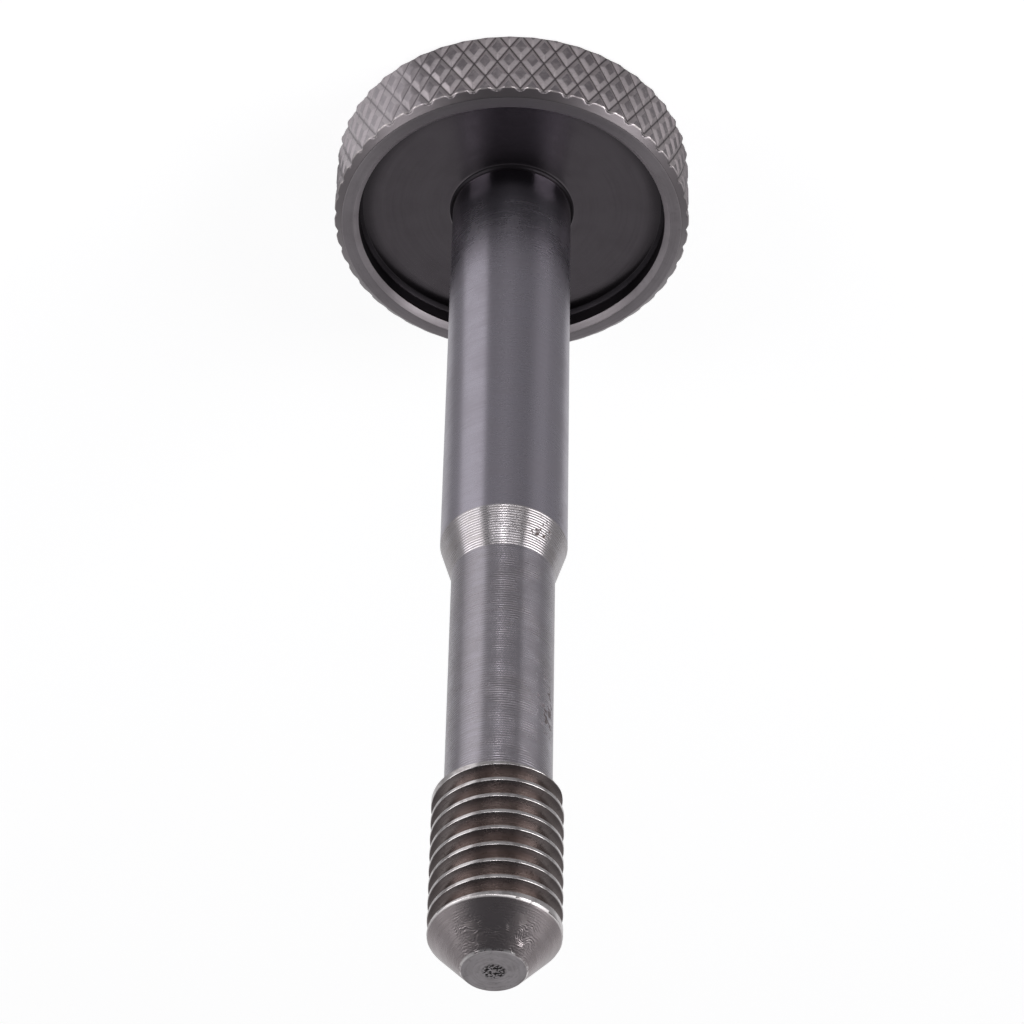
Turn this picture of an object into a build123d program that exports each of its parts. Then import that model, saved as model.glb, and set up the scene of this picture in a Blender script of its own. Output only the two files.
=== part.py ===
from build123d import *
import math
import os

# Head, measured along Z from its flat outer face
knurl_diameter = 30.0
head_thickness = 7.5
outer_chamfer = 0.5

# Rim and recess in the head's underside, from the outside inwards
rim_chamfer = 0.65
rim_face_width = 0.95
recess_depth = 2.05
recess_mouth_chamfer = 0.45
recess_corner_chamfer = 0.3
root_fillet = 0.42

# Diamond knurl: two crossed families of helical V grooves
knurl_count = 48
knurl_angle = 30.0
knurl_groove_angle = 120.0
knurl_depth = 0.25
knurl_start_angle = 1.9

# Stem, stations along Z
shank_diameter = 10.0
shank_end = 44.45
neck_start = 47.8
neck_diameter = 8.1
thread_start = 70.35
thread_end = 82.7
bolt_length = 85.8
point_diameter = 4.72

# M10 coarse thread, right-handed
thread_pitch = 1.5
thread_major_diameter = 9.85
thread_flank_angle = 60.0
thread_depth = 0.56 * thread_pitch
thread_root_flat = thread_pitch / 6
# The groove starts this far below the thread's first face and ends this far below its last crest
thread_lead_in = 0.225
thread_run_out = 0.51

# Room that a cutting shape has past the surface it cuts
overrun = 0.15


def turned(points):
    """Solid of revolution about Z from a closed profile of (radius, height) points."""
    with BuildPart() as solid:
        with BuildSketch(Plane.XZ):
            with BuildLine():
                Polyline(*points, close=True)
            make_face()
        revolve(axis=Axis.Z)
    return solid.part


def knurl_prism(hand):
    """Ridged prism of one hand: V ridges run round its side as helices."""
    outer_radius = knurl_diameter / 2
    root_radius = outer_radius - knurl_depth
    half_step = math.pi / knurl_count
    lean = math.tan(math.radians(knurl_angle))
    row = outer_radius * half_step / lean
    flank_rise = math.cos(math.radians(knurl_angle)) / math.tan(math.radians(knurl_groove_angle / 2))
    ridge_radius = root_radius + root_radius * half_step * flank_rise
    start_angle = math.radians(knurl_start_angle)
    corners = []
    for step in range(2 * knurl_count):
        radius = root_radius if step % 2 == 0 else ridge_radius
        angle = start_angle + step * half_step
        corners.append(Vector(radius * math.cos(angle), radius * math.sin(angle), -row))
    height = head_thickness + 2 * row
    turn = math.degrees(height * lean / outer_radius)
    outline = Face(Wire.make_polygon(corners))
    return Solid.extrude_linear_with_rotation(outline, (0, 0, -row), (0, 0, height), hand * turn)


def knurled_head(join_height):
    """Head with its recess and the first length of shank, knurled round the side."""
    outer = knurl_diameter / 2
    recess = outer - rim_chamfer - rim_face_width - recess_mouth_chamfer
    shank = shank_diameter / 2
    floor = head_thickness - recess_depth
    fillet_foot = (shank + root_fillet, floor)
    fillet_top = (shank, floor + root_fillet)
    with BuildPart() as head:
        with BuildSketch(Plane.XZ):
            with BuildLine():
                Polyline(
                    (0, 0),
                    (outer - outer_chamfer, 0),
                    (outer, outer_chamfer),
                    (outer, head_thickness - rim_chamfer),
                    (outer - rim_chamfer, head_thickness),
                    (recess + recess_mouth_chamfer, head_thickness),
                    (recess, head_thickness - recess_mouth_chamfer),
                    (recess, floor + recess_corner_chamfer),
                    (recess - recess_corner_chamfer, floor),
                    fillet_foot,
                )
                RadiusArc(fillet_foot, fillet_top, root_fillet)
                Polyline(fillet_top, (shank, join_height), (0, join_height), (0, 0))
            make_face()
        revolve(axis=Axis.Z)
    return head.part & knurl_prism(1) & knurl_prism(-1)


def stem(join_height):
    """Plain shank, tapered shoulder and neck, up to the thread."""
    shank = shank_diameter / 2
    neck = neck_diameter / 2
    return turned([
        (0, join_height),
        (shank, join_height),
        (shank, shank_end),
        (neck, neck_start),
        (neck, thread_start),
        (0, thread_start),
    ])


def threaded_rod():
    """Over-long rod with a helical V groove; the groove ends inside it at both ends."""
    crest = thread_major_diameter / 2
    root = crest - thread_depth
    depth = thread_depth + thread_pitch / 10
    half_root = thread_root_flat / 2
    half_mouth = half_root + depth * math.tan(math.radians(thread_flank_angle / 2))
    start = thread_start - thread_lead_in
    end = thread_end - thread_run_out
    path = Helix(thread_pitch, end - start, root, center=(0, 0, start))
    with BuildSketch(Plane(origin=(root, 0, start), x_dir=(1, 0, 0), z_dir=(0, 1, 0))) as profile:
        with BuildLine():
            Polyline((0, -half_root), (depth, -half_mouth), (depth, half_mouth), (0, half_root), close=True)
        make_face()
    foot = start - thread_pitch
    rod = Solid.make_cylinder(crest, bolt_length + thread_pitch - foot, Plane((0, 0, foot)))
    return rod - sweep(profile.sketch, path=path, is_frenet=True)


def threaded_end():
    """Threaded rod trimmed to its first face, the conical point and the flat end."""
    crest = thread_major_diameter / 2
    tip = point_diameter / 2
    cone_slope = (bolt_length - thread_end) / (crest - tip)
    trim = turned([
        (0, thread_start),
        (crest + overrun, thread_start),
        (crest + overrun, thread_end - overrun * cone_slope),
        (tip, bolt_length),
        (0, bolt_length),
    ])
    return threaded_rod() & trim


join_height = head_thickness + overrun
bolt = knurled_head(join_height) + stem(join_height) + threaded_end()

os.makedirs("parts", exist_ok=True)
export_step(bolt, "parts/bolt.step")
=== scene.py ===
# Tool holder bolt: turned steel, with a diamond-knurled head and a threaded end.
import math

import bmesh
import bpy
import numpy as np
from mathutils import Euler, Matrix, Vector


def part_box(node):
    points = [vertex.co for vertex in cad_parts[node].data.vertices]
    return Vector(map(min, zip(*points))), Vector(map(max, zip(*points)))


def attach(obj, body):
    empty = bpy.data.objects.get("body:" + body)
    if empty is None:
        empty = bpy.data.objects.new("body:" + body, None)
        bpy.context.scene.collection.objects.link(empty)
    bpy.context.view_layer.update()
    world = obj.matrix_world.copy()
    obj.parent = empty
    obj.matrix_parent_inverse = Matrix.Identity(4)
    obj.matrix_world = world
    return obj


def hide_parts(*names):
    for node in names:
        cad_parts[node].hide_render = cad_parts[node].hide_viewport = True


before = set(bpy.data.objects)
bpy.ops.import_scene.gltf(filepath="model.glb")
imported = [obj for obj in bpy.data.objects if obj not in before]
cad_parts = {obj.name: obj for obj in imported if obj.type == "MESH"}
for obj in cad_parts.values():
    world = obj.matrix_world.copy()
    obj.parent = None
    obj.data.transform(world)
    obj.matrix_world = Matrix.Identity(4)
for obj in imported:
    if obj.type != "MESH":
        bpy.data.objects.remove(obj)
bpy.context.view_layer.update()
_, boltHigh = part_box("bolt")
mm = 0.001
headRadius = boltHigh.x / mm
boltLength = boltHigh.z / mm
print("frame loaded, bolt", round(boltLength, 2), "mm long")

# Form, in mm along Z from the head's flat face

headForm = {
    "backChamfer": 0.5,
    "backRings": (4.0, 9.0),
    "backInset": 0.25,  # the flat face's outer ring of points lies this far inside the chamfer
    "rimHeight": 7.5,
    "rimChamfer": 0.65,
    "rimWidth": 0.95,
    "rimDrop": 0.02,  # the knurl's last row lies this far below the rim
    "rimInset": 0.06,  # and the rim's first ring this far inside the chamfer
    "mouthChamfer": 0.45,
    "cornerChamfer": 0.3,
    "cornerRadius": 0.15,
    "floorHeight": 5.45,
    "rootFillet": 0.42,
    "edgeRadius": 0.07,
}
rimShoulder = headForm["rimHeight"] - headForm["rimChamfer"]
rimOuter = headRadius - headForm["rimChamfer"]
rimInner = rimOuter - headForm["rimWidth"]
recessRadius = rimInner - headForm["mouthChamfer"]

knurlForm = {
    "count": 48,
    "angle": math.radians(30.0),
    "grooveAngle": math.radians(120.0),
    "depth": 0.25,
    "start": math.radians(1.9),
    "columnsPerGroove": 14,
    "backRows": 7,
    "frontRows": 12,
    "rowGap": 0.2,  # share of a row left free at each end of the lattice
}
# the height over which a groove moves half of its step round the head
knurlRow = headRadius * math.pi / knurlForm["count"] / math.tan(knurlForm["angle"])

stemForm = {
    "shankRadius": 5.0,
    "shankEnd": 44.45,
    "shankEdgeRadius": 0.12,
    "neckStart": 47.8,
    "neckRadius": 4.05,
    "neckFillet": 0.3,
    "threadStart": 70.35,
    "threadEnd": 82.7,
    "pointRadius": 2.36,
    "tipEdgeRadius": 0.08,
    "columns": 168,
}

threadForm = {
    "pitch": 1.5,
    "crestRadius": 4.925,
    "depth": 0.84,
    "rootHalfWidth": 0.125,
    "flankAngle": math.radians(30.0),
    "grooveStart": 70.125,
    "grooveEnd": 82.19,
    "fadeTurns": 0.1,
    "crestRounding": 0.05,
    "overlap": 0.3,  # the thread's rows run this far up the cone
    "flankRows": (0.26, 0.42, 0.54),  # from the groove's centre line
    "crestRows": (-0.04, -0.012, 0.02, 0.06),  # from the groove's edge
}

pipForm = {
    "radius": 0.9,
    "ringRadius": 0.35,
    "crownRadius": 0.1,
    "depth": 0.05,
    "edgeRadius": 0.1,
}


def roundedLine(corners, steps=4):
    # A line of (distance out, height) through the corners. A corner with a radius becomes an arc tangent to
    # both of its sides, which starts radius * tan(turn / 2) before the corner.
    line = []
    for index, (out, up, radius) in enumerate(corners):
        here = np.array([out, up])
        if radius == 0 or index in (0, len(corners) - 1):
            line.append(here)
            continue
        before = np.array(corners[index - 1][:2]) - here
        after = np.array(corners[index + 1][:2]) - here
        before /= np.linalg.norm(before)
        after /= np.linalg.norm(after)
        half = math.acos(np.clip(before @ after, -1, 1)) / 2
        reach = radius / math.tan(half)
        centre = here + (before + after) / np.linalg.norm(before + after) * radius / math.sin(half)
        first = here + before * reach - centre
        last = here + after * reach - centre
        sweep = math.pi - 2 * half
        for part in np.linspace(0, 1, steps + 1):
            spot = first * math.sin((1 - part) * sweep) + last * math.sin(part * sweep)
            line.append(centre + spot / math.sin(sweep))
    return np.array(line)


def knurlRadius(angle, height):
    # Each family of grooves is a V wave: radius rises straight from the groove to the ridge halfway to the
    # next. A family leans tan(angle) / radius per mm of height, one to each hand; the surface is the lower
    # of the two.
    step = 2 * math.pi / knurlForm["count"]
    root = headRadius - knurlForm["depth"]
    rise = root * step / 2 * math.cos(knurlForm["angle"]) / math.tan(knurlForm["grooveAngle"] / 2)
    lean = (height + knurlRow) * math.tan(knurlForm["angle"]) / headRadius
    lowest = np.full(np.broadcast(angle, height).shape, np.inf)
    for hand in (-1, 1):
        phase = (angle - knurlForm["start"] + hand * lean) / step
        away = np.abs(phase - np.round(phase)) * 2
        lowest = np.minimum(lowest, root + rise * away)
    return lowest


def threadRadius(angle, height):
    # Distance from the nearest groove's centre line, which climbs one pitch a turn, gives root, flank or
    # crest. The crest's corners are eased by a soft minimum, and the groove fades in and out at its ends.
    pitch = threadForm["pitch"]
    start = threadForm["grooveStart"]
    turned = angle / (2 * math.pi)
    turns = (height - start) / pitch - turned
    nearest = np.round(turns)
    away = np.abs(turns - nearest) * pitch
    crest = threadForm["crestRadius"]
    root = crest - threadForm["depth"]
    flank = root + (away - threadForm["rootHalfWidth"]) / math.tan(threadForm["flankAngle"])
    ease = threadForm["crestRounding"]
    blend = np.clip(0.5 + 0.5 * (crest - flank) / ease, 0, 1)
    eased = crest * (1 - blend) + flank * blend - ease * blend * (1 - blend) * 0.5
    cut = crest - np.maximum(eased, root)
    allTurns = (threadForm["grooveEnd"] - start) / pitch
    ends = np.minimum(nearest + turned, allTurns - nearest - turned)
    fade = np.clip(ends / threadForm["fadeTurns"], 0, 1)
    return crest - cut * fade * fade * (3 - 2 * fade)


def pointRadius(height):
    # Straight cone from the thread's end to the flat tip.
    part = (height - stemForm["threadEnd"]) / (boltLength - stemForm["threadEnd"])
    return threadForm["crestRadius"] + (stemForm["pointRadius"] - threadForm["crestRadius"]) * part


class Skin:
    # Collects rows of points and the faces between them.
    def __init__(self):
        self.points = []
        self.faces = []
        self.count = 0

    def addPoints(self, angle, radius, height):
        # x = radius cos(angle), y = radius sin(angle), z = height
        angle, radius, height = np.broadcast_arrays(angle, radius, height)
        spots = np.stack([radius * np.cos(angle), radius * np.sin(angle), height], -1)
        self.points.append(spots.reshape(-1, 3))
        first = self.count
        self.count += angle.size
        return first + np.arange(angle.size).reshape(angle.shape)

    def addGrid(self, index, right):
        # Quads between rows; right holds each point's neighbour one column on.
        self.faces.append(np.stack([index[:-1], right[:-1], right[1:], index[1:]], -1).reshape(-1, 4))

    def addTriangles(self, a, b, c):
        # A triangle is a quad whose last corner is given twice; finishMesh tells them apart.
        self.faces.append(np.stack([a, b, c, c], -1).reshape(-1, 4))


def evenAngles(columns):
    # Even angles round the axis, one for each column.
    return np.arange(columns) * 2 * math.pi / columns


def addTurned(skin, line, columns):
    # Rows of a turned profile: the same line at every angle.
    angle = evenAngles(columns)[None, :]
    index = skin.addPoints(angle, line[:, :1], line[:, 1:])
    skin.addGrid(index, np.roll(index, -1, 1))
    return index


def addPole(skin, ring, height, outward):
    # Closes a ring with triangles to a point on the axis.
    pole = skin.addPoints(np.zeros(1), np.zeros(1), np.full(1, height))[0]
    following = np.roll(ring, -1)
    centre = np.full(ring.shape, pole)
    if outward:
        skin.addTriangles(ring, following, centre)
    else:
        skin.addTriangles(following, ring, centre)


def addStitch(skin, fine, coarse, flip):
    # Joins a ring of many points to one of few: each fine side takes the nearest coarse point, and each
    # coarse side takes the fine point at its middle. The fine ring starts at the knurl's own angle.
    fine = np.roll(fine, round(knurlForm["start"] / (2 * math.pi) * len(fine)))
    ratio = len(fine) // len(coarse)
    side = np.arange(len(fine))
    nearest = coarse[((side + 0.5) / ratio + 0.5).astype(int) % len(coarse)]
    own = np.arange(len(coarse))
    middle = fine[(own * ratio + ratio // 2) % len(fine)]
    if flip:
        skin.addTriangles(np.roll(fine, -1), fine, nearest)
        skin.addTriangles(coarse, np.roll(coarse, -1), middle)
    else:
        skin.addTriangles(fine, np.roll(fine, -1), nearest)
        skin.addTriangles(np.roll(coarse, -1), coarse, middle)


def addKnurl(skin):
    # The head's side. Rows lie on the knurl's own lattice, each half a column on from the last, so both
    # families run along edges; the blank with its two chamfers cuts the knurl off at its ends.
    form = headForm
    columns = knurlForm["count"] * knurlForm["columnsPerGroove"]
    column = 2 * math.pi / columns
    row = headRadius * column / 2 / math.tan(knurlForm["angle"])
    first = math.ceil((form["backChamfer"] + knurlRow) / row + knurlForm["rowGap"])
    last = math.floor((rimShoulder + knurlRow) / row - knurlForm["rowGap"])
    lattice = np.arange(first, last + 1) * row - knurlRow
    backRows = np.linspace(0, form["backChamfer"], knurlForm["backRows"])
    frontRows = np.linspace(rimShoulder, form["rimHeight"] - form["rimDrop"], knurlForm["frontRows"])
    heights = np.concatenate([backRows, lattice, frontRows])
    parity = (np.arange(len(heights)) - len(backRows) + first) % 2
    angle = knurlForm["start"] + (np.arange(columns)[None, :] + parity[:, None] / 2) * column
    height = heights[:, None]
    blank = np.minimum(headRadius - form["backChamfer"] + height, headRadius + rimShoulder - height)
    blank = np.minimum(blank, headRadius)
    index = skin.addPoints(angle, np.minimum(blank, knurlRadius(angle, height)), height)
    following = np.roll(index, -1, 1)
    for low in range(len(heights) - 1):
        here, on, above, aboveOn = index[low], following[low], index[low + 1], following[low + 1]
        if parity[low] == 0:
            skin.addTriangles(here, on, above)
            skin.addTriangles(on, aboveOn, above)
        else:
            skin.addTriangles(here, on, aboveOn)
            skin.addTriangles(here, aboveOn, above)
    return index


def addBack(skin, knurl):
    # The head's flat outer face, from the axis to the knurl's first row.
    edge = headRadius - headForm["backChamfer"] - headForm["backInset"]
    line = np.array([(out, 0) for out in (*headForm["backRings"], edge)])
    back = addTurned(skin, line, stemForm["columns"])
    addPole(skin, back[0], 0.0, False)
    addStitch(skin, knurl[0], back[-1], True)


def addStem(skin, knurl):
    # One turned line from the knurl's last row: flat rim, recess, plain shank, taper and neck.
    form, stem = headForm, stemForm
    floor = form["floorHeight"]
    shank = stem["shankRadius"]
    line = roundedLine([
        (rimOuter - form["rimInset"], form["rimHeight"], 0),
        (rimInner, form["rimHeight"], form["edgeRadius"]),
        (recessRadius, form["rimHeight"] - form["mouthChamfer"], form["edgeRadius"]),
        (recessRadius, floor + form["cornerChamfer"], form["cornerRadius"]),
        (recessRadius - form["cornerChamfer"], floor, form["cornerRadius"]),
        (shank, floor, form["rootFillet"]),
        (shank, stem["shankEnd"], stem["shankEdgeRadius"]),
        (stem["neckRadius"], stem["neckStart"], stem["neckFillet"]),
        (stem["neckRadius"], stem["threadStart"], 0),
    ])
    rim = addTurned(skin, line, stem["columns"])
    addStitch(skin, knurl[-1], rim[0], False)


def addThread(skin):
    # Rows climb with the groove, one pitch a turn, so crests and roots run along edges; a row's end joins
    # the row one turn on. Heights are held between the thread's first face and the cone, so the spare
    # turns at both ends fall flat and are welded away.
    form = threadForm
    columns = stemForm["columns"]
    pitch = form["pitch"]
    low = stemForm["threadStart"]
    high = stemForm["threadEnd"] + form["overlap"]
    mouth = form["rootHalfWidth"] + form["depth"] * math.tan(form["flankAngle"])
    nearMouth = mouth + np.array(form["crestRows"])
    offsets = np.array([0, form["rootHalfWidth"], *form["flankRows"], *nearMouth, pitch / 2])
    offsets = np.concatenate([offsets, pitch - offsets[-2:0:-1]])
    perTurn = len(offsets)
    turns = math.ceil((high - low) / pitch) + 3
    start = form["grooveStart"] + math.floor((low - form["grooveStart"]) / pitch - 1) * pitch
    heights = (start + np.arange(turns)[:, None] * pitch + offsets[None, :]).reshape(-1)
    angle = evenAngles(columns)[None, :]
    height = np.clip(heights[:, None] + pitch * angle / (2 * math.pi), low, high)
    index = skin.addPoints(angle, np.minimum(threadRadius(angle, height), pointRadius(height)), height)
    right = np.empty_like(index)
    right[:, :-1] = index[:, 1:]
    right[:-perTurn, -1] = index[perTurn:, 0]
    right[-perTurn:, -1] = index[-1, 0]
    skin.addGrid(index, right)
    return low, high


def addThreadFace(skin, height):
    # Flat ring from the neck out to the thread's first turn.
    angle = evenAngles(stemForm["columns"])
    inner = np.full(len(angle), stemForm["neckRadius"])
    outer = np.minimum(threadRadius(angle, height), pointRadius(height))
    face = skin.addPoints(angle[None, :], np.stack([inner, outer]), height)
    skin.addGrid(face, np.roll(face, -1, 1))


def addTip(skin, height):
    # The rest of the cone, its flat end and the dimple with a raised middle that facing left in it.
    line = roundedLine([
        (pointRadius(height), height, 0),
        (stemForm["pointRadius"], boltLength, stemForm["tipEdgeRadius"]),
        (pipForm["radius"], boltLength, pipForm["edgeRadius"]),
        (pipForm["ringRadius"], boltLength - pipForm["depth"], pipForm["edgeRadius"]),
        (pipForm["crownRadius"], boltLength, 0),
    ])
    end = addTurned(skin, line, stemForm["columns"])
    addPole(skin, end[-1], boltLength, True)


def finishMesh(name, skin):
    # Welds points that touch, drops what that flattens, and turns the faces outwards.
    mesh = bpy.data.meshes.new(name)
    faces = np.concatenate(skin.faces)
    triangles = faces[:, 2] == faces[:, 3]
    lists = faces[~triangles].tolist() + faces[triangles][:, :3].tolist()
    mesh.from_pydata((np.concatenate(skin.points) * mm).tolist(), [], lists)
    work = bmesh.new()
    work.from_mesh(mesh)
    bmesh.ops.remove_doubles(work, verts=work.verts, dist=0.0002 * mm)
    bmesh.ops.recalc_face_normals(work, faces=work.faces)
    work.to_mesh(mesh)
    work.free()
    mesh.validate()
    mesh.update()
    piece = bpy.data.objects.new(name, mesh)
    bpy.context.scene.collection.objects.link(piece)
    return piece


def makeBolt():
    # The whole bolt as one closed mesh, from the head's outer face to the tip. Only edges that turn by more
    # than 38 degrees are shaded sharp.
    skin = Skin()
    knurl = addKnurl(skin)
    addBack(skin, knurl)
    addStem(skin, knurl)
    low, high = addThread(skin)
    addThreadFace(skin, low)
    addTip(skin, high)
    piece = finishMesh("turnedBolt", skin)
    piece.data.set_sharp_from_angle(angle=math.radians(38))
    piece.data.polygons.foreach_set("use_smooth", np.ones(len(piece.data.polygons), bool))
    piece.data.update()
    return piece


bolt = makeBolt()
bolt.data.calc_loop_triangles()
print("bolt built,", len(bolt.data.loop_triangles), "triangles")

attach(bolt, "root")
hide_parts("bolt")

# Finish

# Surface marks are worked out from the bolt's own coordinates, in mm.


def addNode(tree, kind, inputs=None, **settings):
    # A node with its settings; each input, by name or number, is given a value or linked to a socket.
    node = tree.nodes.new(kind)
    for name, value in settings.items():
        setattr(node, name, value)
    for key, value in (inputs or {}).items():
        if isinstance(value, bpy.types.NodeSocket):
            tree.links.new(value, node.inputs[key])
        else:
            node.inputs[key].default_value = value
    return node


def calculate(tree, operation, *values, clamp=False):
    inputs = dict(enumerate(values))
    return addNode(tree, "ShaderNodeMath", inputs, operation=operation, use_clamp=clamp).outputs[0]


def multiply(tree, first, second):
    return calculate(tree, "MULTIPLY", first, second)


def ramp(tree, value, low, high, first=0.0, last=1.0):
    # Smooth step from first to last while value goes from low to high.
    inputs = {"Value": value, "From Min": low, "From Max": high, "To Min": first, "To Max": last}
    node = addNode(tree, "ShaderNodeMapRange", inputs, interpolation_type="SMOOTHSTEP")
    return node.outputs["Result"]


def mixColor(tree, amount, first, second):
    # Sockets 6 and 7 of the Mix node are its colours, 2 and 3 its values.
    node = addNode(tree, "ShaderNodeMix", {0: amount, 6: first, 7: second}, data_type="RGBA")
    return node.outputs[2]


def mixValue(tree, amount, first, second):
    node = addNode(tree, "ShaderNodeMix", {0: amount, 2: first, 3: second}, data_type="FLOAT")
    return node.outputs[0]


def noise(tree, vector, scale, detail=2.0, roughness=0.5, distortion=0.0):
    inputs = {
        "Vector": vector, "Scale": scale, "Detail": detail, "Roughness": roughness, "Distortion": distortion,
    }
    return addNode(tree, "ShaderNodeTexNoise", inputs).outputs["Fac"]


def splitVector(tree, vector):
    # The x, y and z of a vector, as three outputs.
    return addNode(tree, "ShaderNodeSeparateXYZ", {0: vector}).outputs


def newGroup(name, inputs, outputs):
    # A node group with named inputs (name: default) and named outputs (name: socket type).
    group = bpy.data.node_groups.new(name, "ShaderNodeTree")
    for label, value in inputs.items():
        kind = "NodeSocketVector" if isinstance(value, tuple) else "NodeSocketFloat"
        group.interface.new_socket(name=label, in_out="INPUT", socket_type=kind).default_value = value
    for label, kind in outputs.items():
        group.interface.new_socket(name=label, in_out="OUTPUT", socket_type=kind)
    return group, group.nodes.new("NodeGroupInput"), group.nodes.new("NodeGroupOutput")


def useGroup(tree, group, inputs=None):
    return addNode(tree, "ShaderNodeGroup", inputs, node_tree=group)


def makePlace():
    # Where a point is: in mm, its distance from the axis and height, and a unit vector that points out to it.
    group, _, ends = newGroup("place", {}, {
        "Point": "NodeSocketVector",
        "Out": "NodeSocketFloat",
        "Up": "NodeSocketFloat",
        "Around": "NodeSocketVector",
    })
    own = addNode(group, "ShaderNodeTexCoord").outputs["Object"]
    point = addNode(group, "ShaderNodeVectorMath", {0: own, 3: 1 / mm}, operation="SCALE").outputs[0]
    parts = splitVector(group, point)
    flat = addNode(group, "ShaderNodeCombineXYZ", {0: parts[0], 1: parts[1]}).outputs[0]
    out = addNode(group, "ShaderNodeVectorMath", {0: flat}, operation="LENGTH").outputs["Value"]
    around = addNode(group, "ShaderNodeVectorMath", {0: flat}, operation="NORMALIZE").outputs[0]
    group.links.new(point, ends.inputs["Point"])
    group.links.new(out, ends.inputs["Out"])
    group.links.new(parts[2], ends.inputs["Up"])
    group.links.new(around, ends.inputs["Around"])
    return group


def makeLatheMarks():
    # Rings left by the tool: an even feed ring each Feed mm, uneven finer ones, and long streaks that fade
    # along the turn. Along is the distance the tool went.
    group, starts, ends = newGroup("latheMarks", {
        "Along": 0.0,
        "Around": (0.0, 0.0, 0.0),
        "Feed": 0.2,
        "Even": 0.5,
        "Uneven": 0.5,
    }, {"Height": "NodeSocketFloat", "Streak": "NodeSocketFloat"})
    along, around = starts.outputs["Along"], starts.outputs["Around"]
    parts = splitVector(group, around)

    def streaks(across, turn, detail):
        # Noise that changes about across times per mm of the tool's way and turn times per radian round it.
        x = multiply(group, parts[0], turn)
        y = multiply(group, parts[1], turn)
        z = multiply(group, along, across)
        spot = addNode(group, "ShaderNodeCombineXYZ", {0: x, 1: y, 2: z}).outputs[0]
        return noise(group, spot, 1.0, detail)

    feed = calculate(group, "DIVIDE", along, starts.outputs["Feed"])
    lag = multiply(group, streaks(0.5, 0.7, 1.0), 0.22)
    turns = calculate(group, "ADD", feed, lag)
    wave = calculate(group, "SINE", multiply(group, turns, 2 * math.pi))
    strong = ramp(group, streaks(0.8, 2.0, 2.0), 0.3, 0.65, 0.6, 1.0)
    even = multiply(group, multiply(group, wave, strong), starts.outputs["Even"])
    fine = multiply(group, streaks(14.0, 3.0, 3.0), starts.outputs["Uneven"])
    height = calculate(group, "ADD", multiply(group, even, 0.5), fine)
    group.links.new(height, ends.inputs["Height"])
    group.links.new(streaks(5.0, 1.4, 3.0), ends.inputs["Streak"])
    return group


def makeTarnish():
    # Cloudy stain and fine dark pores.
    group, starts, ends = newGroup("tarnish", {"Point": (0.0, 0.0, 0.0), "Cloud": 0.35, "Pores": 2.6}, {
        "Cloud": "NodeSocketFloat",
        "Pores": "NodeSocketFloat",
    })
    point = starts.outputs["Point"]
    cloud = ramp(group, noise(group, point, starts.outputs["Cloud"], 4.0, 0.6, 0.4), 0.35, 0.68)
    pores = ramp(group, noise(group, point, starts.outputs["Pores"], 3.0, 0.6), 0.56, 0.72)
    group.links.new(cloud, ends.inputs["Cloud"])
    group.links.new(pores, ends.inputs["Pores"])
    return group


def makeRust():
    # Ragged patches of rust and pitting within Reach mm of a point.
    group, starts, ends = newGroup("rust", {
        "Point": (0.0, 0.0, 0.0),
        "Middle": (0.0, 0.0, 0.0),
        "Stretch": (1.0, 1.0, 1.0),
        "Reach": 3.0,
    }, {"Mask": "NodeSocketFloat"})
    point = starts.outputs["Point"]
    inputs = {0: point, 1: starts.outputs["Middle"]}
    away = addNode(group, "ShaderNodeVectorMath", inputs, operation="SUBTRACT").outputs[0]
    inputs = {0: away, 1: starts.outputs["Stretch"]}
    squeezed = addNode(group, "ShaderNodeVectorMath", inputs, operation="MULTIPLY").outputs[0]
    length = addNode(group, "ShaderNodeVectorMath", {0: squeezed}, operation="LENGTH").outputs["Value"]
    share = calculate(group, "DIVIDE", length, starts.outputs["Reach"])
    near = calculate(group, "SUBTRACT", 1.0, share, clamp=True)
    rough = noise(group, point, 2.2, 5.0, 0.7, 0.6)
    total = calculate(group, "ADD", rough, multiply(group, near, 0.22))
    mask = multiply(group, ramp(group, total, 0.66, 0.78), ramp(group, near, 0.0, 0.15))
    group.links.new(mask, ends.inputs["Mask"])
    return group


place = makePlace()
latheMarks = makeLatheMarks()
tarnish = makeTarnish()
rust = makeRust()

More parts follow.
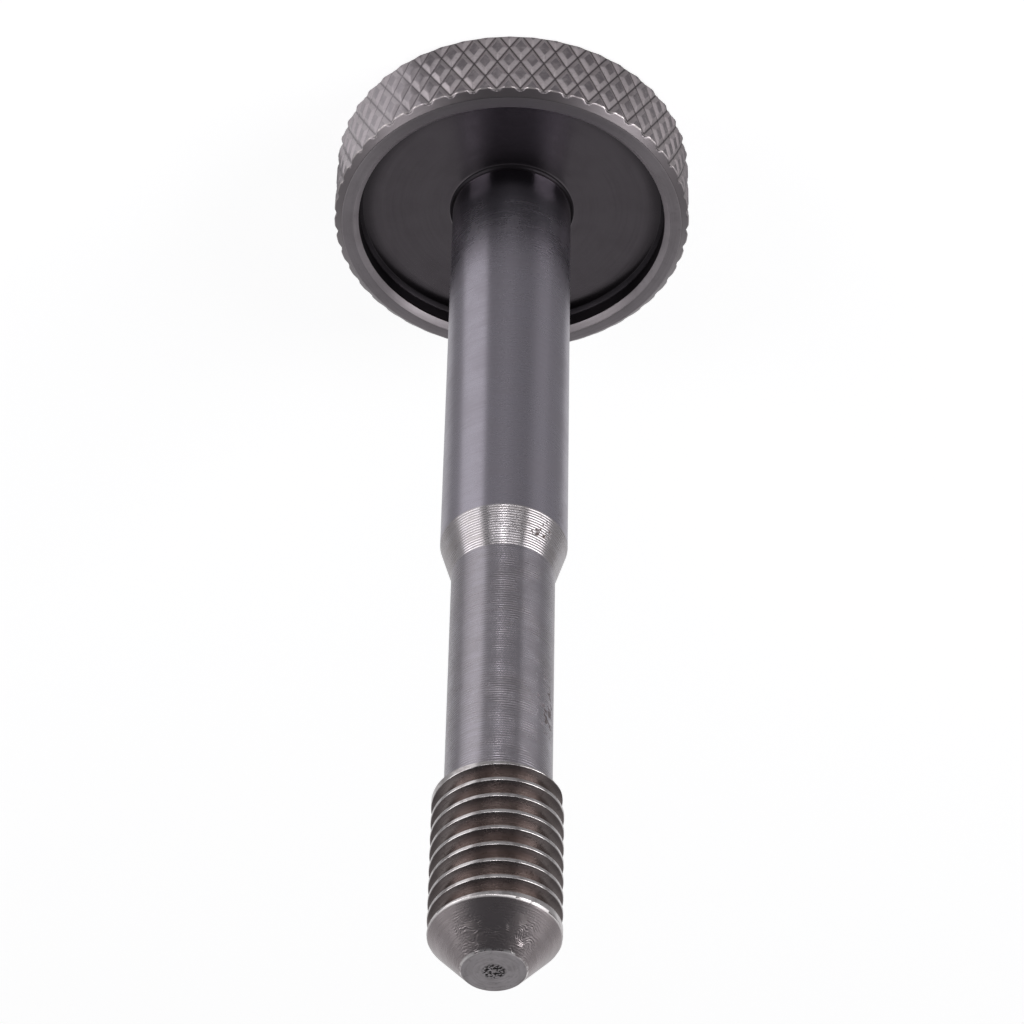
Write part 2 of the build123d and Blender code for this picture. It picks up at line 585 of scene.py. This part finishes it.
finishes = {
    # base: clean metal; stain: the same where it has dulled; along: the way the tool went;
    # feed, even, uneven: the tool's marks; depth: their height in metres; pores: how strongly they show
    "shank": {
        "base": (0.375, 0.352, 0.405), "stain": (0.33, 0.305, 0.35),
        "roughness": 0.25, "anisotropy": 0.6, "pores": 0.05,
        "along": "Up", "feed": 0.17, "even": 0.1, "uneven": 0.8, "depth": 0.8e-6,
    },
    "shoulder": {
        "base": (0.45, 0.425, 0.445), "stain": (0.38, 0.35, 0.355),
        "roughness": 0.24, "anisotropy": 0.7, "pores": 0.1,
        "along": "Up", "feed": 0.209, "even": 1.2, "uneven": 0.05, "depth": 16e-6,
    },
    "neck": {
        "base": (0.365, 0.343, 0.38), "stain": (0.315, 0.29, 0.315),
        "roughness": 0.23, "anisotropy": 0.75, "pores": 0.04,
        "along": "Up", "feed": 0.23, "even": 1.3, "uneven": 0.05, "depth": 14e-6,
    },
    "thread": {
        "base": (0.36, 0.315, 0.305), "stain": (0.23, 0.19, 0.18),
        "roughness": 0.25, "anisotropy": 0.4, "pores": 0.4,
        "along": "Out", "feed": 0.12, "even": 0.3, "uneven": 0.8, "depth": 2e-6,
    },
    "point": {
        "base": (0.42, 0.375, 0.385), "stain": (0.34, 0.30, 0.305),
        "roughness": 0.25, "anisotropy": 0.2, "pores": 0.1,
        "along": "Up", "feed": 0.15, "even": 0.25, "uneven": 0.5, "depth": 5e-6,
    },
    "tip": {
        "base": (0.84, 0.80, 0.82), "stain": (0.62, 0.58, 0.59),
        "roughness": 0.66, "anisotropy": 0.0, "pores": 0.2,
        "along": "Out", "feed": 0.15, "even": 0.3, "uneven": 1.0, "depth": 5e-6,
    },
    "knurl": {
        "base": (0.65, 0.59, 0.61), "stain": (0.53, 0.475, 0.49),
        "roughness": 0.33, "anisotropy": 0.0, "pores": 0.25,
        "along": "Up", "feed": 0.2, "even": 0.0, "uneven": 0.6, "depth": 4e-6,
    },
    "rim": {
        "base": (0.56, 0.515, 0.54), "stain": (0.46, 0.42, 0.44),
        "roughness": 0.46, "anisotropy": 0.3, "pores": 0.1,
        "along": "Out", "feed": 0.16, "even": 0.3, "uneven": 0.8, "depth": 3e-6,
    },
    "recess": {
        "base": (0.30, 0.268, 0.29), "stain": (0.26, 0.23, 0.25),
        "roughness": 0.17, "anisotropy": 0.0, "pores": 0.05,
        "along": "Out", "feed": 0.25, "even": 0.1, "uneven": 0.8, "depth": 1e-6,
    },
    # Painted shade: near black on the recess wall, its corner and the shank's root fillet.
    "wall": {
        "base": (0.045, 0.04, 0.046), "stain": (0.035, 0.031, 0.035),
        "roughness": 0.4, "anisotropy": 0.0, "pores": 0.1,
        "along": "Up", "feed": 0.25, "even": 0.3, "uneven": 0.8, "depth": 2e-6,
    },
    "back": {
        "base": (0.40, 0.37, 0.38), "stain": (0.31, 0.28, 0.29),
        "roughness": 0.34, "anisotropy": 0.6, "pores": 0.2,
        "along": "Out", "feed": 0.22, "even": 0.8, "uneven": 0.8, "depth": 5e-6,
    },
}

markColors = {
    "pores": (0.06, 0.045, 0.04),
    # painted shade at the bottom of the knurl's grooves
    "knurlGrooveShade": (0.06, 0.052, 0.055),
    # painted shade on the knurl's flat tops
    "knurlTopShade": (0.28, 0.25, 0.27),
    # painted shade on the knurl's +X side
    "knurlSideShade": (0.33, 0.30, 0.325),
    "knurlEdge": (0.50, 0.46, 0.46),
    # painted shade on the chamfer at the rim
    "rimChamfer": (0.20, 0.18, 0.19),
    # painted shade on the rim's front
    "rimFrontShade": (0.22, 0.20, 0.215),
    # painted shade on the recess floor near the wall
    "recessWallShade": (0.05, 0.045, 0.05),
    # painted shade on the shank near the recess
    "shankLowShade": (0.06, 0.057, 0.067),
    # painted shade at the shank's root
    "shankRootShade": (0.03, 0.028, 0.033),
    "threadRoot": (0.15, 0.115, 0.105),
    # painted shade on the thread's upper flanks
    "threadFlankShade": (0.12, 0.10, 0.105),
    "threadCrest": (0.62, 0.59, 0.595),
    # nicked tip edge, and a worn edge with a painted highlight where the thread ends
    "pointEdgeWearAndHighlight": (0.85, 0.82, 0.82),
    "pip": (0.05, 0.045, 0.045),
    "rust": (0.09, 0.05, 0.04),
}

rustSpots = [
    # middle and reach in mm; a stretch below 1 makes the patch longer that way
    {
        "zone": "neck", "middle": (-3.6, -1.9, 62.5), "stretch": (1.0, 1.0, 0.35),
        "reach": 2.4, "strength": 0.6,
    },
    {
        "zone": "shank", "middle": (-4.4, -2.4, 43.0), "stretch": (1.0, 1.0, 0.5),
        "reach": 1.6, "strength": 0.2,
    },
    {
        "zone": "shoulder", "middle": (-2.9, -3.6, 46.0), "stretch": (1.0, 1.0, 1.0),
        "reach": 1.6, "strength": 0.8,
    },
    {
        "zone": "thread", "middle": (-2.9, -3.9, 80.3), "stretch": (1.0, 1.0, 1.0),
        "reach": 1.4, "strength": 0.8,
    },
]


def makeFinish(name, values):
    # Steel with tool marks, a cloudy stain and pores; returns what the extra marks of a zone are mixed into.
    material = bpy.data.materials.new(name + "Steel")
    material.use_nodes = True
    tree = material.node_tree
    shader = tree.nodes["Principled BSDF"]
    shader.inputs["Metallic"].default_value = 1.0
    shader.inputs["Anisotropic"].default_value = values["anisotropy"]
    shader.inputs["Anisotropic Rotation"].default_value = 0.25
    tangent = addNode(tree, "ShaderNodeTangent", direction_type="RADIAL", axis="Z")
    tree.links.new(tangent.outputs[0], shader.inputs["Tangent"])
    spot = useGroup(tree, place)
    marks = useGroup(tree, latheMarks, {
        "Along": spot.outputs[values["along"]],
        "Around": spot.outputs["Around"],
        "Feed": values["feed"],
        "Even": values["even"],
        "Uneven": values["uneven"],
    })
    dull = useGroup(tree, tarnish, {"Point": spot.outputs["Point"]})
    streaky = ramp(tree, marks.outputs["Streak"], 0.4, 0.68, 0.0, 0.45)
    cloudy = multiply(tree, dull.outputs["Cloud"], 0.6)
    amount = calculate(tree, "ADD", cloudy, streaky, clamp=True)
    made = {
        "material": material,
        "tree": tree,
        "shader": shader,
        "spot": spot,
        "color": mixColor(tree, amount, (*values["base"], 1), (*values["stain"], 1)),
        "roughness": mixValue(tree, amount, values["roughness"], values["roughness"] + 0.06),
        "height": marks.outputs["Height"],
        "depth": values["depth"],
    }
    tint(made, multiply(tree, dull.outputs["Pores"], values["pores"]), "pores")
    return made


def closeFinish(made):
    # Links what the marks have left to the shader.
    tree, shader = made["tree"], made["shader"]
    inputs = {"Height": made["height"], "Distance": made["depth"], "Strength": 1.0}
    bump = addNode(tree, "ShaderNodeBump", inputs)
    tree.links.new(made["color"], shader.inputs["Base Color"])
    tree.links.new(made["roughness"], shader.inputs["Roughness"])
    tree.links.new(bump.outputs[0], shader.inputs["Normal"])
    return made["material"]


def tint(made, mask, color):
    # Takes on one of markColors where mask is 1.
    made["color"] = mixColor(made["tree"], mask, made["color"], (*markColors[color], 1))


def refinish(made, mask, color, roughness):
    # Another colour and roughness where mask is 1.
    tint(made, mask, color)
    made["roughness"] = mixValue(made["tree"], mask, made["roughness"], roughness)


def sink(made, mask, depth):
    # Lower where mask is 1, by depth times the finish's own depth.
    lower = multiply(made["tree"], mask, depth)
    made["height"] = calculate(made["tree"], "SUBTRACT", made["height"], lower)


def markKnurl(made):
    # Painted shade in the grooves, on the flat tops in patches and on the +X side; a nicked edge at the rim,
    # and painted shade on the chamfer there.
    tree, spot = made["tree"], made["spot"]
    point, out, up = spot.outputs["Point"], spot.outputs["Out"], spot.outputs["Up"]
    root = headRadius - knurlForm["depth"]
    # Painted shade: darker at the bottom of the grooves.
    grooveShade = ramp(tree, out, root + 0.01, root + 0.07, 1.0, 0.0)
    tint(made, multiply(tree, grooveShade, 0.8), "knurlGrooveShade")
    # Painted shade on the flat tops, in patches.
    top = ramp(tree, out, headRadius - 0.03, headRadius - 0.005)
    patchy = ramp(tree, noise(tree, point, 1.8, 3.0, 0.6), 0.3, 0.6, 0.35, 0.85)
    tint(made, multiply(tree, top, patchy), "knurlTopShade")
    # Painted shade: darker towards +X.
    side = splitVector(tree, spot.outputs["Around"])[0]
    tint(made, ramp(tree, side, 0.2, 0.7, 0.0, 0.6), "knurlSideShade")
    below = ramp(tree, up, rimShoulder - 0.13, rimShoulder - 0.01)
    above = ramp(tree, up, rimShoulder + 0.05, rimShoulder + 0.15, 1.0, 0.0)
    nicks = ramp(tree, noise(tree, point, 2.4, 3.0, 0.7), 0.4, 0.55)
    refinish(made, multiply(tree, multiply(tree, below, above), nicks), "knurlEdge", 0.42)
    # Painted shade on the chamfer at the rim, with a roughness of its own.
    chamfer = ramp(tree, up, rimShoulder + 0.03, rimShoulder + 0.11)
    refinish(made, chamfer, "rimChamfer", 0.36)


def markThread(made):
    # Brown in the groove, painted shade on the upper flanks, and bright where the crests are worn.
    tree, spot = made["tree"], made["spot"]
    crest = threadForm["crestRadius"]
    out = spot.outputs["Out"]
    deep = ramp(tree, out, crest - threadForm["depth"], crest - 0.45, 1.0, 0.0)
    tint(made, multiply(tree, deep, 0.3), "threadRoot")
    # Painted shade on the upper flanks.
    high = ramp(tree, out, crest - 0.5, crest - 0.15)
    tint(made, multiply(tree, high, 0.5), "threadFlankShade")
    patchy = ramp(tree, noise(tree, spot.outputs["Point"], 1.4, 3.0, 0.6), 0.3, 0.6, 0.4, 1.0)
    worn = multiply(tree, ramp(tree, out, crest - 0.05, crest - 0.012), patchy)
    refinish(made, worn, "threadCrest", 0.2)


def markPoint(made):
    # Chatter: short ripples towards the tip. A nicked bright line at the tip's edge, and a bright one where
    # the thread ends, a worn edge with a painted highlight.
    tree, spot = made["tree"], made["spot"]
    point, up = spot.outputs["Point"], spot.outputs["Up"]
    lag = multiply(tree, noise(tree, point, 1.1, 1.0, 0.5), 7.0)
    turns = calculate(tree, "ADD", calculate(tree, "DIVIDE", up, 0.19), lag)
    wave = calculate(tree, "SINE", multiply(tree, turns, 2 * math.pi))
    patches = ramp(tree, noise(tree, point, 1.8, 2.0), 0.35, 0.6)
    near = ramp(tree, up, boltLength - 2.7, boltLength - 1.2, 0.15, 1.0)
    ripple = multiply(tree, multiply(tree, wave, patches), near)
    made["height"] = calculate(tree, "ADD", made["height"], multiply(tree, ripple, 0.85))
    edge = ramp(tree, up, boltLength - 0.22, boltLength - 0.08)
    nicks = ramp(tree, noise(tree, point, 1.7, 3.0, 0.7), 0.42, 0.58)
    refinish(made, multiply(tree, edge, nicks), "pointEdgeWearAndHighlight", 0.3)
    # Painted highlight on the worn edge where the thread ends.
    start = stemForm["threadEnd"]
    refinish(made, ramp(tree, up, start + 0.05, start + 0.16, 0.9, 0.0), "pointEdgeWearAndHighlight", 0.6)


def markRoot(made):
    # The shank is smoother where it runs into the recess, and darker there: painted shade.
    tree, up = made["tree"], made["spot"].outputs["Up"]
    floor = headForm["floorHeight"]
    near = ramp(tree, up, floor + 1.5, floor + 5.5, 1.0, 0.0)
    made["roughness"] = mixValue(tree, near, made["roughness"], 0.25)
    made["height"] = mixValue(tree, multiply(tree, near, 0.9), made["height"], 0.0)
    # Painted shade near the recess.
    tint(made, multiply(tree, near, 0.6), "shankLowShade")
    # Painted shade, darkest at the root, which is also smoother.
    root = ramp(tree, up, floor + 1.0, floor + 2.8, 0.5, 0.0)
    refinish(made, root, "shankRootShade", 0.1)


def markRecess(made):
    # Painted shade: the floor darkens towards the wall.
    out = made["spot"].outputs["Out"]
    tint(made, ramp(made["tree"], out, recessRadius - 1.8, recessRadius - 0.3, 0.0, 0.7), "recessWallShade")


def markRim(made):
    # Painted shade: darker at the front, towards -Y.
    toward = splitVector(made["tree"], made["spot"].outputs["Around"])[1]
    tint(made, ramp(made["tree"], toward, -1.0, -0.45, 0.6, 0.0), "rimFrontShade")


def markPip(made):
    # Dark crumbs in the dimple in the middle of the tip.
    tree, spot = made["tree"], made["spot"]
    out = spot.outputs["Out"]
    inner = ramp(tree, out, pipForm["crownRadius"], pipForm["crownRadius"] + 0.15)
    outer = ramp(tree, out, pipForm["radius"] - 0.2, pipForm["radius"] + 0.05, 1.0, 0.0)
    crumbs = ramp(tree, noise(tree, spot.outputs["Point"], 5.0, 3.0, 0.6), 0.42, 0.55)
    mask = multiply(tree, multiply(tree, inner, outer), crumbs)
    tint(made, mask, "pip")
    sink(made, mask, 3.0)


def markRust(made, values):
    tree = made["tree"]
    patches = useGroup(tree, rust, {
        "Point": made["spot"].outputs["Point"],
        "Middle": values["middle"],
        "Stretch": values["stretch"],
        "Reach": values["reach"],
    })
    mask = multiply(tree, patches.outputs["Mask"], values["strength"])
    refinish(made, mask, "rust", 0.7)
    sink(made, mask, 1.5)


def makeMaterials():
    made = {name: makeFinish(name, values) for name, values in finishes.items()}
    markKnurl(made["knurl"])
    markThread(made["thread"])
    markPip(made["tip"])
    markPoint(made["point"])
    markRoot(made["shank"])
    markRecess(made["recess"])
    markRim(made["rim"])
    for values in rustSpots:
        markRust(made[values["zone"]], values)
    return {name: closeFinish(parts) for name, parts in made.items()}


def sortFaces(piece, materials):
    # Gives each face the finish of the first zone that its middle lies in. The small steps, in mm, keep the
    # zones' borders off the rows of points.
    faces = piece.data.polygons
    middle = np.empty(len(faces) * 3, np.float32)
    faces.foreach_get("center", middle)
    x, y, up = (middle.reshape(-1, 3) / mm).T
    out = np.hypot(x, y)
    form, stem = headForm, stemForm
    inStem = out < stem["shankRadius"] + 0.02
    inRecess = out < recessRadius
    zones = [
        ("back", up < 0.002),
        ("knurl", (out > rimOuter - 0.02) & (up < form["rimHeight"] - 0.02)),
        ("rim", (up > form["rimHeight"] - form["mouthChamfer"] - 0.03) & ~inStem),
        ("wall", (out > recessRadius - form["cornerChamfer"] - 0.02) & ~inStem),
        ("recess", (up < form["floorHeight"] + 0.06) & inRecess),
        ("wall", (up < form["floorHeight"] + form["rootFillet"] - 0.02) & inRecess),
        ("shank", up < stem["shankEnd"] + 0.01),
        ("shoulder", up < stem["neckStart"] + 0.02),
        ("neck", up < stem["threadStart"] - 0.001),
        ("thread", up < stem["threadEnd"]),
        ("tip", up > boltLength - 0.06),
        ("point", up > 0),
    ]
    names = list(materials)
    chosen = np.select([test for _, test in zones], [names.index(name) for name, _ in zones])
    for name in names:
        piece.data.materials.append(materials[name])
    faces.foreach_set("material_index", chosen.astype(np.int32))
    piece.data.update()


sortFaces(bolt, makeMaterials())
print("finishes made,", len(bolt.data.materials))

# Floor, lamps and camera

floorForm = {
    "reach": 2.0,  # metres from the axis to each side
    "color": (0.4, 0.4, 0.405, 1),
    "glow": 0.85,
    "footGlow": 0.75,
    "footWidth": 7.0,  # mm from the head's edge over which the foot's glow fades into the rest
    # how strongly metal sees the floor round the bolt: degrees from straight in front, towards +X, and the
    # glow there
    "seenGlow": [
        (-180, 0.65), (-128, 0.62), (-112, 0.21), (-76, 0.14), (-70, 0.22), (-52, 0.19),
        (-46, 0.13), (-35, 0.08), (-12, 0.12), (0, 0.16), (34, 0.16), (40.5, 0.78),
        (80, 0.76), (87, 0.24), (108, 0.24), (125, 0.55), (180, 0.65),
    ],
}


def makeFloor():
    # Flat pale square under the head. Metal sees it as if dark cards lay on parts of it, dimmer close to the
    # head.
    reach = floorForm["reach"]
    mesh = bpy.data.meshes.new("floor")
    corners = [(-reach, -reach, 0), (reach, -reach, 0), (reach, reach, 0), (-reach, reach, 0)]
    mesh.from_pydata(corners, [], [(0, 1, 2, 3)])
    floor = bpy.data.objects.new("floor", mesh)
    bpy.context.scene.collection.objects.link(floor)
    material = bpy.data.materials.new("floor")
    material.use_nodes = True
    tree = material.node_tree
    shader = tree.nodes["Principled BSDF"]
    shader.inputs["Base Color"].default_value = floorForm["color"]
    shader.inputs["Roughness"].default_value = 1.0
    shader.inputs["Specular IOR Level"].default_value = 0.0
    spot = useGroup(tree, place)
    parts = splitVector(tree, spot.outputs["Around"])
    turn = calculate(tree, "ARCTAN2", parts[0], multiply(tree, parts[1], -1.0))
    part = addNode(tree, "ShaderNodeMapRange", {"Value": turn, "From Min": -math.pi, "From Max": math.pi})
    cards = addNode(tree, "ShaderNodeValToRGB", {"Fac": part.outputs["Result"]})
    stops = cards.color_ramp.elements
    for index, (degrees, glow) in enumerate(floorForm["seenGlow"]):
        position = degrees / 360 + 0.5
        stop = stops[index] if index < 2 else stops.new(position)
        stop.position = position
        stop.color = (glow, glow, glow, 1)
    out = spot.outputs["Out"]
    foot = ramp(tree, out, headRadius, headRadius + floorForm["footWidth"], floorForm["footGlow"], 1.0)
    rays = addNode(tree, "ShaderNodeLightPath").outputs
    metal = calculate(tree, "MAXIMUM", rays["Is Glossy Ray"], rays["Is Transmission Ray"])
    seen = multiply(tree, metal, multiply(tree, cards.outputs[0], foot))
    plain = multiply(tree, rays["Is Camera Ray"], floorForm["glow"])
    shader.inputs["Emission Color"].default_value = (1, 1, 1, 1)
    tree.links.new(calculate(tree, "ADD", plain, seen), shader.inputs["Emission Strength"])
    mesh.materials.append(material)


makeFloor()

lamps = [
    # azimuth: degrees from straight in front, towards +X; height: of the lamp's middle;
    # size: width and height; all lengths in metres
    {
        "name": "lampLeft", "azimuth": 59.5, "distance": 0.34, "height": 0.11,
        "size": (0.238, 0.16), "radiance": 3.0,
    },
    {
        "name": "lampFront", "azimuth": -2, "distance": 0.42, "height": 0.05,
        "size": (0.44, 0.09), "radiance": 3.4,
    },
    {
        "name": "lampMiddle", "azimuth": 2, "distance": 0.40, "height": 0.05,
        "size": (0.07, 0.09), "radiance": 5.0,
    },
    {
        "name": "lampRight", "azimuth": -58.5, "distance": 0.34, "height": 0.096,
        "size": (0.243, 0.19), "radiance": 4.2,
    },
]


def makeLamp(values):
    # Flat upright lamp that stands round the bolt and faces it; its power gives the wanted radiance.
    light = bpy.data.lights.new(values["name"], "AREA")
    light.shape = "RECTANGLE"
    light.size, light.size_y = values["size"]
    light.energy = values["radiance"] * math.pi * light.size * light.size_y
    lamp = bpy.data.objects.new(values["name"], light)
    turn = math.radians(values["azimuth"])
    reach = values["distance"]
    lamp.location = (math.sin(turn) * reach, -math.cos(turn) * reach, values["height"])
    lamp.rotation_euler = (math.pi / 2, 0, turn)
    bpy.context.scene.collection.objects.link(lamp)


for values in lamps:
    makeLamp(values)

room = {
    "front": (0.085, 0.085, 0.09, 1),
    "side": (0.72, 0.72, 0.725, 1),
    "sideHigh": (0.72, 0.72, 0.725, 1),
    "back": (0.19, 0.19, 0.195, 1),
    "backLow": (0.50, 0.50, 0.505, 1),
    # where each part begins and ends, from 0 to 1: across to either side, up, and back
    "sideAcross": (0.5, 0.85),
    "sideUp": (0.38, 0.52),
    "sideHighAcross": (0.3, 0.6),
    "sideHighLift": (0.8, 0.86),  # of up and a share of back together
    "liftShare": 0.6,
    "backAway": (0.1, 0.6),
    "backLowUp": (0.2, 0.6),
}


def makeRoom():
    # Dim room, darkest in front and overhead, with lighter parts to the sides and behind.
    world = bpy.data.worlds.new("room")
    bpy.context.scene.world = world
    world.use_nodes = True
    tree = world.node_tree
    x, away, up = splitVector(tree, addNode(tree, "ShaderNodeTexCoord").outputs["Generated"])
    across = calculate(tree, "ABSOLUTE", x)
    low = ramp(tree, up, *room["sideUp"], 1.0, 0.0)
    side = multiply(tree, ramp(tree, across, *room["sideAcross"]), low)
    lift = calculate(tree, "ADD", up, multiply(tree, away, room["liftShare"]))
    high = ramp(tree, lift, *room["sideHighLift"])
    sideHigh = multiply(tree, ramp(tree, across, *room["sideHighAcross"]), high)
    back = ramp(tree, away, *room["backAway"])
    backLow = multiply(tree, ramp(tree, up, *room["backLowUp"], 1.0, 0.0), back)
    light = mixColor(tree, side, room["front"], room["side"])
    light = mixColor(tree, sideHigh, light, room["sideHigh"])
    light = mixColor(tree, back, light, room["back"])
    light = mixColor(tree, backLow, light, room["backLow"])
    tree.links.new(light, tree.nodes["Background"].inputs["Color"])


makeRoom()

view = {
    "place": (-0.000576, -0.235478, 0.263012),
    "elevation": math.radians(43.36),
    "roll": math.radians(181.265),
    "lens": 144.155,
}


def makeCamera():
    # Looks straight ahead and down by its elevation, turned over by its roll.
    data = bpy.data.cameras.new("camera")
    data.lens = view["lens"]
    data.sensor_width = 36
    data.clip_start = 0.01
    data.clip_end = 10
    camera = bpy.data.objects.new("camera", data)
    tilt = Euler((math.pi / 2 - view["elevation"], 0, 0)).to_matrix()
    turn = tilt @ Matrix.Rotation(view["roll"], 3, "Z")
    camera.matrix_world = Matrix.Translation(view["place"]) @ turn.to_4x4()
    bpy.context.scene.collection.objects.link(camera)
    bpy.context.scene.camera = camera


makeCamera()
bpy.context.scene.view_settings.view_transform = "Standard"
print("stage and camera ready")

bpy.context.view_layer.update()
